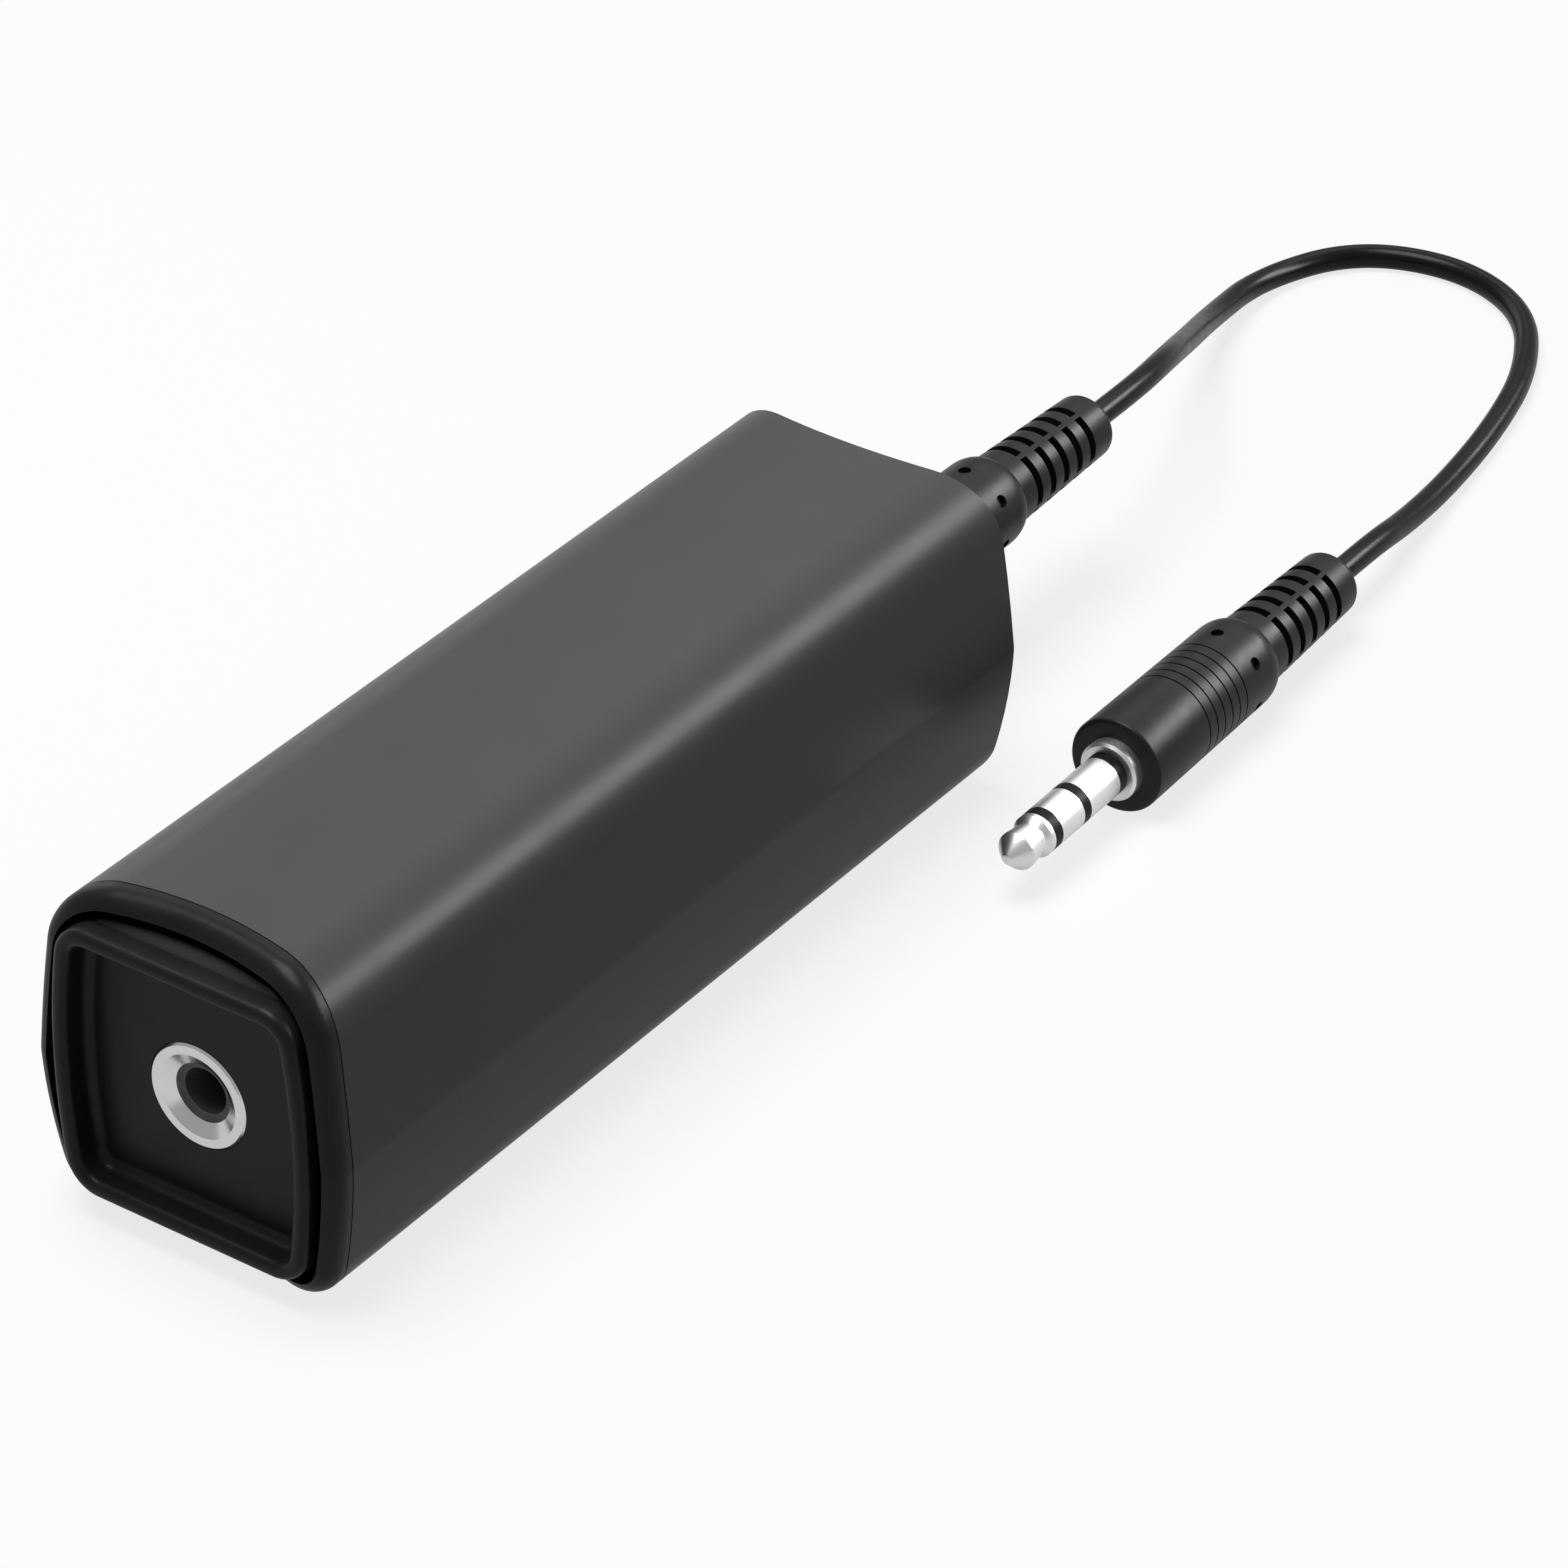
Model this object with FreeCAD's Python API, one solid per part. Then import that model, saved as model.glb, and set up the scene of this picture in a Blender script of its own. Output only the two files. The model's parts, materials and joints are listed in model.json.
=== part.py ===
import FreeCAD, Part
import math
import os

# Ground loop isolator with a short plug-to-plug lead, in millimetres.
# X runs across, Y runs along from the front jack (-Y) to the rear jack (+Y), Z runs up.
# The origin is the middle of the housing's footprint, on the surface it stands on.

V = FreeCAD.Vector
X_AXIS = V(1, 0, 0)
Y_AXIS = V(0, 1, 0)
Z_AXIS = V(0, 0, 1)

# Housing, outside
body_length = 82.2
half_width = 13.2
crown_height = 26.9
axis_height = 12.8
crown_drop = 0.7
shoulder_inset = 1.65
waist_height = 12.3
foot_inset = 2.05
upper_side_bow = 0.15
lower_side_bow = 0.4
shoulder_radius = 5.8
foot_radius = 4.4
crease_radius = 4.0
wall = 1.6
scoop_depth = 2.7
mouth_inset = 4.25

# Lip of the front end, and the lap joint that holds each bezel in the sleeve
lip_length = 2.7
lip_length_at_crown = 2.1
lip_width = 1.2
lip_radius = 1.5
seam_gap = 0.12
seam_depth = 0.15
skin_left = 0.6
lap_clearance = 0.05
rear_recess = 0.25
flange_thickness = 1.2
flange_reach = 4.0

# End panel with its raised bead and the sunk field round the jack
groove_width = 0.8
panel_apron_height = 1.2
panel_face_drop = 2.0
bead_half_width = 0.68
bead_rounding = 0.6
bead_height = 1.85
bead_top_inset = 3.2
bead_bottom_height = 2.8
bead_side_inset = 2.8
bead_top_corner_inset = 3.8
bead_bottom_corner_inset = 3.65
bead_corner_radius = 2.2
field_fillet = 0.8
web_fall = 1.0

# Jack, measured from the face of its ring inwards
ring_drop = 2.4
ring_radius = 4.12
ring_hole_radius = 2.33
ring_cone_radius = 3.3
ring_cone_depth = 0.6
ring_flange = 0.9
ring_thickness = 2.2
ring_proud = 0.15
ring_clearance = 0.05
bushing_radius = 3.0
thread_clearance = 0.04
bore_radius = 1.8
bore_length = 3.0
panel_web = 1.2
jack_width = 9.0
jack_length = 13.0
chamber_half = 3.3
chamber_length = 11.7
contact_thickness = 0.3
contact_width = 1.6
pin_width = 1.0
slot_clearance = 0.06
tip_touch_radius = 1.62
touch_radius = 1.82
leaf_foot = 0.4
leaf_flat = 0.4
leaf_lead_in = 0.9
leaf_flare = 0.7

# Circuit board on its rails
board_side_gap = 0.15
board_end_gap = 1.7
board_thickness = 1.2
board_clearance = 0.08
rail_thickness = 1.0
rail_reach = 0.8
rail_end_gap = 2.8
pin_stick_out = 0.9
jack_pin_hole = 0.62

# Transformers
transformer_offset = 9.6
core_width = 14.0
core_height = 11.6
core_depth = 5.5
core_lift = 0.4
leg_width = 4.0
yoke = 2.0
bobbin_wall = 0.5
bobbin_clearance = 0.1
flange_height = 0.7
bobbin_flange_width = 9.6
bobbin_flange_depth = 11.8
pin_rail_depth = 2.6
primary_build = 1.0
secondary_build = 0.85
tape_build = 0.15
winding_corner = 0.9
pin_radius = 0.3
pin_hole_radius = 0.38
pin_pitch = 3.6
pin_grip = 1.4

# Plug, measured from its tip towards the cord
shaft_radius = 1.75
core_radius = 1.1
rod_radius = 0.45
first_band = (5.0, 5.75)
second_band = (8.45, 9.3)
third_band = (13.05, 14.0)
waist_middle = 2.45
sleeve_touch_inset = 0.5
collar_radius = 2.45
collar_end = 15.1
tail_radius = 2.15
tail_length = 4.0
collar_seat = 0.52

# Moulded handle and boot of each plug
handle_radius = 3.95
handle_back_radius = 3.8
handle_edge = 0.35
handle_length = 18.5
shoulder_length = 1.7
grip_start = 7.4
grip_pitch = 1.1
grip_count = 6
grip_width = 0.16
grip_depth = 0.14
dot_distance = 15.2
dot_radius = 0.52
dot_depth = 0.6
dot_count = 6
boot_length = 13.4
boot_radius = 3.1
boot_end_radius = 2.7
boot_rounding = 0.6
slot_start = 2.3
slot_pitch = 1.95
slot_rows = 5
slot_width = 0.8
slot_depth = 0.7
slots_per_row = 4
web_angle = 18.0

# Free plug, lying on the surface
free_tip_x = 21.6
free_tip_y = 27.8
free_turn = 1.15

# Cord
cord_radius = 1.03
arc_share = 0.45

# Places that follow from the sizes above
front_y = -body_length / 2
ring_face_y = front_y + ring_drop
panel_front_y = front_y + panel_face_drop
field_y = ring_face_y + ring_proud
ring_seat_y = ring_face_y + ring_thickness
panel_back_y = ring_seat_y + panel_web
flange_back_y = panel_back_y + flange_thickness
jack_half = jack_width / 2
board_top = axis_height - jack_half
board_bottom = board_top - board_thickness
board_half_length = -panel_back_y - board_end_gap
rail_half_length = board_half_length - rail_end_gap
bead_top = crown_height - bead_top_inset
bead_crest_y = panel_front_y - bead_height
mouth_half = half_width - foot_inset - mouth_inset
plug_length = collar_end + handle_length + boot_length
seated_depth = collar_seat + third_band[1]
tip_touch = seated_depth - waist_middle
ring_touch = seated_depth - (first_band[1] + second_band[0]) / 2
sleeve_touch = seated_depth - second_band[1] - sleeve_touch_inset
rear_tip_y = -ring_face_y - seated_depth
rear_exit_y = rear_tip_y + plug_length


def to_point(centre, toward, radius):
    """Point at a radius from a centre, on the way to another point."""
    return centre + (toward - centre).normalize() * radius


def arc(centre, radius, start, end):
    middle = to_point(centre, (start + end) * 0.5, radius)
    return Part.Arc(start, middle, end).toShape()


def mirrored(point):
    return V(-point.x, point.y, point.z)


def bowed_circle(start, end, bow):
    """Centre and radius of an arc between two points that bows out to +X."""
    chord = end - start
    radius = (chord.Length ** 2 / 4 + bow ** 2) / (2 * bow)
    outward = V(abs(chord.z), 0, 0)
    outward.z = -chord.x * abs(chord.z) / chord.z
    outward.normalize()
    return (start + end) * 0.5 - outward * (radius - bow), radius


def crossing(centre_a, radius_a, centre_b, radius_b, near):
    """Crossing of two circles in the XZ plane that lies nearer to a point."""
    gap = centre_b - centre_a
    distance = gap.Length
    along = (radius_a ** 2 - radius_b ** 2 + distance ** 2) / (2 * distance)
    rise = math.sqrt(radius_a ** 2 - along ** 2)
    gap.normalize()
    across = V(-gap.z, 0, gap.x) * rise
    foot = centre_a + gap * along
    one, other = foot + across, foot - across
    return one if (one - near).Length < (other - near).Length else other


def point_at_height(centre, radius, height):
    """Point on the right of a circle in the XZ plane, at a given height."""
    return V(centre.x + math.sqrt(radius ** 2 - (height - centre.z) ** 2), 0, height)


def closed_half_outline(right_edges, top_line, bottom_line):
    """Closed wire from the edges of the right side, their mirror image and what joins them."""
    left_edges = [edge.mirror(V(0, 0, 0), X_AXIS) for edge in right_edges]
    return Part.Wire(Part.__sortEdges__(right_edges + left_edges + [top_line, bottom_line]))


def section_wire(inset):
    """Outline of the housing, a given distance inside its skin, in the plane Y = 0."""
    shoulder = V(half_width - shoulder_inset, 0, crown_height - crown_drop)
    waist = V(half_width, 0, waist_height)
    foot = V(half_width - foot_inset, 0, 0)
    crown_radius = (shoulder.x ** 2 + crown_drop ** 2) / (2 * crown_drop)
    crown_centre = V(0, 0, crown_height - crown_radius)
    upper_centre, upper_radius = bowed_circle(waist, shoulder, upper_side_bow)
    lower_centre, lower_radius = bowed_circle(foot, waist, lower_side_bow)
    shoulder_centre = crossing(
        crown_centre, crown_radius - shoulder_radius, upper_centre, upper_radius - shoulder_radius, shoulder)
    foot_centre = point_at_height(lower_centre, lower_radius - foot_radius, foot_radius)
    crease_centre = crossing(
        upper_centre, upper_radius - crease_radius, lower_centre, lower_radius - crease_radius, waist)
    crown_end = to_point(crown_centre, shoulder_centre, crown_radius - inset)
    side_top = to_point(upper_centre, shoulder_centre, upper_radius - inset)
    crease_top = to_point(upper_centre, crease_centre, upper_radius - inset)
    crease_bottom = to_point(lower_centre, crease_centre, lower_radius - inset)
    side_bottom = to_point(lower_centre, foot_centre, lower_radius - inset)
    floor_end = V(foot_centre.x, 0, inset)
    right = [
        arc(shoulder_centre, shoulder_radius - inset, crown_end, side_top),
        arc(upper_centre, upper_radius - inset, side_top, crease_top),
        arc(crease_centre, crease_radius - inset, crease_top, crease_bottom),
        arc(lower_centre, lower_radius - inset, crease_bottom, side_bottom),
        arc(foot_centre, foot_radius - inset, side_bottom, floor_end),
    ]
    top = arc(crown_centre, crown_radius - inset, mirrored(crown_end), crown_end)
    bottom = Part.makeLine(mirrored(floor_end), floor_end)
    return closed_half_outline(right, top, bottom)


def section_block(inset, start_y, end_y):
    face = Part.Face(section_wire(inset))
    face.translate(V(0, start_y, 0))
    return face.extrude(V(0, end_y - start_y, 0))


def box_between(x_low, x_high, y_low, y_high, z_low, z_high):
    return Part.makeBox(x_high - x_low, y_high - y_low, z_high - z_low, V(x_low, y_low, z_low))


def hollow_cylinder(depth, side_y):
    """Upright cylinder whose wall crosses the sides at a given Y and the middle a depth behind it."""
    radius = (half_width ** 2 + depth ** 2) / (2 * depth)
    return Part.makeCylinder(radius, crown_height + 4, V(0, side_y + depth - radius, -2))


def rim_cylinder(offset):
    """What is cut away in front of an end, so that it is hollow from side to side."""
    return hollow_cylinder(scoop_depth, front_y + offset)


def seam_cylinder(offset):
    """Everything in front of the seam between lip and sleeve, moved by an offset."""
    depth = scoop_depth + lip_length_at_crown - lip_length
    return hollow_cylinder(depth, front_y + lip_length + offset)


def turned_to_rear(shape):
    turned = shape.copy()
    turned.rotate(V(0, 0, 0), Z_AXIS, 180)
    return turned


def board_half():
    """Half width of the board, which reaches the sleeve's inner skin at its lower face."""
    skin = section_block(wall, 0, 1)
    slice_at_board = skin.common(box_between(0, 2 * half_width, 0, 1, board_bottom, board_top))
    narrowest = min(vertex.X for vertex in slice_at_board.Vertexes if vertex.X > 1)
    return narrowest - board_side_gap


def housing_sleeve():
    sleeve = section_block(0, front_y, -front_y)
    sleeve = sleeve.cut(section_block(wall, front_y - 1, -front_y + 1))
    rail_low = box_between(-half_width, half_width, -rail_half_length, rail_half_length,
                           board_bottom - rail_thickness, board_bottom)
    rail_high = box_between(-half_width, half_width, -rail_half_length, rail_half_length,
                            board_top + board_clearance, board_top + board_clearance + rail_thickness)
    between = box_between(-board_half() + rail_reach, board_half() - rail_reach,
                          -rail_half_length - 1, rail_half_length + 1, 0, crown_height)
    inside = section_block(wall / 2, -rail_half_length, rail_half_length)
    rails = rail_low.fuse(rail_high).cut(between).common(inside)
    sleeve = sleeve.fuse(rails)
    rebate = section_block(skin_left, front_y - 1, flange_back_y)
    for cutter in (rebate, turned_to_rear(rebate), seam_cylinder(0), turned_to_rear(rim_cylinder(0))):
        sleeve = sleeve.cut(cutter)
    return sleeve.removeSplitter()


def bezel_openings(frame):
    """Cuts the opening for the panel, the flange's opening and the mouth out of a bezel."""
    frame = frame.cut(section_block(lip_width, front_y - 2, panel_back_y))
    flange_opening = box_between(-half_width + flange_reach, half_width - flange_reach,
                                 panel_back_y - 1, flange_back_y + 1,
                                 flange_reach, crown_height - flange_reach)
    mouth = box_between(-mouth_half, mouth_half, front_y - 1, panel_back_y, -1, 2 * lip_width)
    return frame.cut(flange_opening).cut(mouth).removeSplitter()


def front_bezel():
    """Bezel whose rounded lip stands in front of the sleeve, with a fine seam between them."""
    reach_y = front_y + scoop_depth + lip_length + 1
    slab = section_block(0, front_y - 1, reach_y).cut(rim_cylinder(0))
    rim = [edge for edge in slab.Edges if edge.BoundBox.YMax < front_y + scoop_depth + 0.01
           and edge.BoundBox.YMin > front_y - 0.01]
    slab = slab.makeFillet(lip_radius, rim)
    slab = slab.common(seam_cylinder(0))
    seam = section_block(0, front_y - 1, reach_y).cut(section_block(seam_depth, front_y - 2, reach_y + 1))
    seam = seam.common(seam_cylinder(0)).cut(seam_cylinder(-seam_gap))
    slab = slab.cut(seam)
    tongue = section_block(skin_left + lap_clearance, front_y + lip_radius, flange_back_y)
    tongue = tongue.cut(seam_cylinder(-seam_gap))
    return bezel_openings(slab.fuse(tongue))


def rear_bezel():
    """Bezel without a lip, which sits just inside the sleeve's rear edge."""
    frame = section_block(skin_left + lap_clearance, front_y - 1, flange_back_y)
    return turned_to_rear(bezel_openings(frame.cut(rim_cylinder(rear_recess))))


def bead_frame_wire(inset):
    """Outline of the raised bead: straight top and bottom, bulged sides, rounded corners."""
    side_circle = Part.Arc(V(half_width - bead_top_corner_inset, 0, bead_top),
                           V(half_width - bead_side_inset, 0, waist_height),
                           V(half_width - bead_bottom_corner_inset, 0, bead_bottom_height)).toShape().Curve
    centre, radius = side_circle.Center, side_circle.Radius
    upper_centre = point_at_height(centre, radius - bead_corner_radius, bead_top - bead_corner_radius)
    lower_centre = point_at_height(centre, radius - bead_corner_radius,
                                   bead_bottom_height + bead_corner_radius)
    top_end = V(upper_centre.x, 0, bead_top - inset)
    bottom_end = V(lower_centre.x, 0, bead_bottom_height + inset)
    side_top = to_point(centre, upper_centre, radius - inset)
    side_bottom = to_point(centre, lower_centre, radius - inset)
    right = [
        arc(upper_centre, bead_corner_radius - inset, top_end, side_top),
        arc(centre, radius - inset, side_top, side_bottom),
        arc(lower_centre, bead_corner_radius - inset, side_bottom, bottom_end),
    ]
    top_line = Part.makeLine(mirrored(top_end), top_end)
    bottom_line = Part.makeLine(mirrored(bottom_end), bottom_end)
    return closed_half_outline(right, top_line, bottom_line)


def bead_frame_block(inset, start_y, end_y):
    face = Part.Face(bead_frame_wire(inset))
    face.translate(V(0, start_y, 0))
    return face.extrude(V(0, end_y - start_y, 0))


def edges_at(shape, y):
    """Edges that lie in the plane at a given Y."""
    return [edge for edge in shape.Edges
            if abs(edge.BoundBox.YMin - y) < 0.01 and abs(edge.BoundBox.YMax - y) < 0.01]


def web_hollow(low, top):
    """What is cut away above the bead, so that the web leans back in the middle."""
    ends = [V(-half_width, panel_front_y, low), V(half_width, panel_front_y, low)]
    rise = V(0, 0, 2 * (top - low))
    middle = V(0, panel_front_y + 2 * web_fall, low) + rise
    fold = Part.makeLine(ends[0], ends[1])
    edge = Part.Arc(ends[0] + rise, middle, ends[1] + rise).toShape()
    return Part.makeRuledSurface(fold, edge).extrude(V(0, -2 * web_fall, 0))


def front_panel():
    outline_inset = lip_width + groove_width
    plate = section_block(outline_inset, panel_front_y, panel_back_y)
    apron = box_between(-mouth_half + lap_clearance, mouth_half - lap_clearance,
                        panel_front_y, panel_back_y, panel_apron_height, outline_inset + 1)
    plate = plate.fuse(apron)
    top = crown_height - outline_inset
    plate = plate.cut(web_hollow(bead_top + bead_half_width, top))
    plate = plate.fuse(bead_frame_block(-bead_half_width, bead_crest_y, panel_back_y))
    field = bead_frame_block(bead_half_width, bead_crest_y - 2, field_y)
    field = field.makeFillet(field_fillet, edges_at(field, field_y))
    plate = plate.cut(field)
    plate = plate.makeFillet(bead_rounding, edges_at(plate, bead_crest_y))
    seat = Part.makeCylinder(ring_radius + ring_clearance, 20, V(0, ring_seat_y, axis_height), -Y_AXIS)
    hole = Part.makeCylinder(bushing_radius + ring_clearance, 20, V(0, front_y, axis_height), Y_AXIS)
    return plate.cut(seat).cut(hole).removeSplitter()


def turned_piece(points):
    """Solid turned about the Y axis from (distance along Y, radius) pairs."""
    corners = [V(radius, along, 0) for along, radius in points]
    face = Part.Face(Part.makePolygon(corners + [corners[0]]))
    return face.revolve(V(0, 0, 0), Y_AXIS, 360)


def at_front_jack(shape):
    shape.translate(V(0, ring_face_y, axis_height))
    return shape


def jack_ring():
    edge = 0.15
    ring = turned_piece([
        (edge, ring_radius), (0, ring_radius - edge), (0, ring_cone_radius),
        (ring_cone_depth, ring_hole_radius), (ring_flange, ring_hole_radius),
        (ring_flange, bushing_radius), (ring_thickness, bushing_radius), (ring_thickness, ring_radius)])
    return at_front_jack(ring)


def jack_pin_places():
    """Where each contact's pin goes down, from the ring's face inwards, and its X."""
    side = chamber_half - contact_thickness
    return {"tip": (14.4, side), "ring": (12.4, -side), "sleeve": (9.3, 0.0)}


def pin_slot(along, across, wide_across, low, high, margin):
    """Upright slot or pin of rectangular section. wide_across sets its width along X."""
    half_thick = contact_thickness / 2 + margin
    half_wide = pin_width / 2 + margin
    half_x, half_y = (half_wide, half_thick) if wide_across else (half_thick, half_wide)
    return box_between(across - half_x, across + half_x, along - half_y, along + half_y, low, high)


def jack_body():
    length_from_face = ring_thickness + panel_web
    bushing = turned_piece([
        (ring_flange, bore_radius), (ring_flange, bushing_radius - thread_clearance),
        (length_from_face + 1, bushing_radius - thread_clearance), (length_from_face + 1, bore_radius)])
    block = box_between(-jack_half, jack_half, length_from_face, length_from_face + jack_length,
                        -jack_half, jack_half)
    bore_end = ring_flange + bore_length
    bore = Part.makeCylinder(bore_radius, bore_end, V(0, 0, 0), Y_AXIS)
    chamber = box_between(-chamber_half, chamber_half, bore_end, bore_end + chamber_length,
                          -chamber_half, chamber_half)
    body = bushing.fuse(block).cut(bore).cut(chamber)
    for name, (along, across) in jack_pin_places().items():
        body = body.cut(pin_slot(along, across, name == "sleeve", -jack_half - 1, 0, slot_clearance))
    return at_front_jack(body.removeSplitter())


def bent_strip(points, thickness):
    """Face of a strip bent along points in the XY plane, with mitred corners."""
    left, right = [], []
    for index, point in enumerate(points):
        before = points[max(index - 1, 0)]
        after = points[min(index + 1, len(points) - 1)]
        incoming = (point - before) if index else (after - point)
        outgoing = (after - point) if index < len(points) - 1 else incoming
        incoming, outgoing = V(incoming).normalize(), V(outgoing).normalize()
        normal = V(-incoming.y - outgoing.y, incoming.x + outgoing.x, 0).normalize()
        reach = thickness / 2 / normal.dot(V(-incoming.y, incoming.x, 0))
        left.append(point + normal * reach)
        right.append(point - normal * reach)
    corners = left + right[::-1]
    return Part.Face(Part.makePolygon(corners + [corners[0]]))


def side_spring(name, touch, touch_at, side):
    """Leaf spring on one side of the chamber, with the pin that goes down through the board."""
    along, across = jack_pin_places()[name]
    stand = abs(across)
    reach = touch_at + contact_thickness / 2
    leaf = bent_strip([V(stand, along + pin_width / 2, 0), V(stand, along - pin_width / 2 - leaf_foot, 0),
                       V(reach, touch + leaf_flat, 0), V(reach, touch - leaf_flat, 0),
                       V(reach + leaf_flare, touch - leaf_flat - leaf_lead_in, 0)], contact_thickness)
    leaf.translate(V(0, 0, -contact_width / 2))
    leaf = leaf.extrude(V(0, 0, contact_width))
    pin_bottom = board_bottom - pin_stick_out - axis_height
    pin = pin_slot(along, stand, False, pin_bottom, -contact_width / 4, 0)
    spring = leaf.fuse(pin)
    if side < 0:
        spring = spring.mirror(V(0, 0, 0), X_AXIS)
    return at_front_jack(spring.removeSplitter())


def sleeve_spring():
    """Leaf spring under the bore that touches the plug's sleeve."""
    along, across = jack_pin_places()["sleeve"]
    reach = touch_radius + contact_thickness / 2
    base = chamber_half - contact_thickness / 2
    flat = leaf_flat / 2
    leaf = bent_strip([V(base, along + contact_thickness / 2, 0), V(base, along - 3 * leaf_foot, 0),
                       V(reach, sleeve_touch + flat, 0), V(reach, sleeve_touch - flat, 0),
                       V(reach + contact_thickness, sleeve_touch - flat - contact_thickness, 0)],
                      contact_thickness)
    leaf.translate(V(0, 0, -contact_width / 2))
    leaf = leaf.extrude(V(0, 0, contact_width))
    leaf.rotate(V(0, 0, 0), Y_AXIS, 90)
    pin = pin_slot(along, across, True, board_bottom - pin_stick_out - axis_height, -base, 0)
    return at_front_jack(leaf.fuse(pin).removeSplitter())


def circuit_board():
    half = board_half()
    board = box_between(-half, half, -board_half_length, board_half_length, board_bottom, board_top)
    for along, across in jack_pin_places().values():
        hole = Part.makeCylinder(jack_pin_hole, board_thickness + 2,
                                 V(across, ring_face_y + along, board_bottom - 1))
        board = board.cut(hole).cut(turned_to_rear(hole))
    for middle in (-transformer_offset, transformer_offset):
        for x, y in transformer_pin_places():
            board = board.cut(Part.makeCylinder(pin_hole_radius, board_thickness + 2,
                                                V(x, middle + y, board_bottom - 1)))
    return board


def transformer_pin_places():
    """Three pins in each of the bobbin's two pin rails."""
    row = bobbin_flange_depth / 2 - pin_rail_depth / 2
    return [(column * pin_pitch, side * row) for side in (-1, 1) for column in (-1, 0, 1)]


def on_board(shape, middle):
    shape.translate(V(0, middle, board_top))
    return shape


def rounded_block(width, depth, low, high, corner):
    block = box_between(-width / 2, width / 2, -depth / 2, depth / 2, low, high)
    uprights = [edge for edge in block.Edges if edge.BoundBox.ZLength > (high - low) / 2]
    return block.makeFillet(corner, uprights)


def window_span():
    """Lowest and highest level of the core's two windows above the board."""
    return core_lift + yoke, core_lift + core_height - yoke


def transformer_core(middle):
    low, high = window_span()
    core = box_between(-core_width / 2, core_width / 2, -core_depth / 2, core_depth / 2,
                       core_lift, core_lift + core_height)
    side_leg = leg_width / 2
    for side in (-1, 1):
        near, far = leg_width / 2, core_width / 2 - side_leg
        xs = sorted((side * near, side * far))
        core = core.cut(box_between(xs[0], xs[1], -core_depth, core_depth, low, high))
    return on_board(core, middle)


def tube_size():
    grow = 2 * (bobbin_wall + bobbin_clearance)
    return leg_width + grow, core_depth + grow


def transformer_bobbin(middle):
    low, high = window_span()
    width, depth = tube_size()
    tube = rounded_block(width, depth, low, high, winding_corner / 2)
    flange = (bobbin_flange_width, bobbin_flange_depth)
    lower = rounded_block(*flange, low, low + flange_height, winding_corner)
    upper = rounded_block(*flange, high - flange_height, high, winding_corner)
    bobbin = tube.fuse(lower).fuse(upper)
    for side in (-1, 1):
        outer = side * bobbin_flange_depth / 2
        ys = sorted((outer, outer - side * pin_rail_depth))
        half = bobbin_flange_width / 2
        bobbin = bobbin.fuse(box_between(-half, half, ys[0], ys[1], 0, low + flange_height / 2))
    half_x, half_y = leg_width / 2 + bobbin_clearance, core_depth / 2 + bobbin_clearance
    leg = box_between(-half_x, half_x, -half_y, half_y, low - 1, high + 1)
    bobbin = bobbin.cut(leg)
    for x, y in transformer_pin_places():
        bobbin = bobbin.cut(Part.makeCylinder(pin_radius, pin_grip + 1, V(x, y, -1)))
    return on_board(bobbin.removeSplitter(), middle)


def winding(inner_build, outer_build):
    """Ring of wire or tape round the bobbin's tube, between two build-up heights."""
    low, high = window_span()
    low, high = low + flange_height, high - flange_height
    width, depth = tube_size()
    outer = rounded_block(width + 2 * outer_build, depth + 2 * outer_build, low, high,
                          winding_corner / 2 + outer_build)
    inner = rounded_block(width + 2 * inner_build, depth + 2 * inner_build, low, high,
                          winding_corner / 2 + inner_build)
    return outer.cut(inner)


def transformer_pin(place, middle):
    bottom = -board_thickness - pin_stick_out
    return on_board(Part.makeCylinder(pin_radius, pin_grip - bottom, V(place[0], place[1], bottom)), middle)


def plug_tip():
    return turned_piece([
        (0, 0), (0, 0.4), (1.35, 1.62), (1.62, 1.72), (3.0, 1.3), (3.3, 1.3), (3.48, shaft_radius),
        (first_band[0], shaft_radius), (first_band[0], rod_radius),
        (collar_end + tail_length, rod_radius), (collar_end + tail_length, 0)])


def plug_insulator():
    front, back = first_band
    points = [(front, rod_radius), (front, shaft_radius), (back, shaft_radius), (back, core_radius)]
    for start, end in (second_band, third_band):
        points += [(start, core_radius), (start, shaft_radius), (end, shaft_radius), (end, core_radius)]
    points += [(collar_end + tail_length, core_radius), (collar_end + tail_length, rod_radius)]
    return turned_piece(points)


def plug_tube(start, end):
    return turned_piece([(start, core_radius), (start, shaft_radius),
                         (end, shaft_radius), (end, core_radius)])


def plug_collar():
    edge = 0.2
    front, back = third_band[1], collar_end + tail_length
    return turned_piece([
        (front, core_radius), (front, collar_radius - edge), (front + edge, collar_radius),
        (collar_end, collar_radius), (collar_end, tail_radius), (back, tail_radius), (back, core_radius)])


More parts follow.
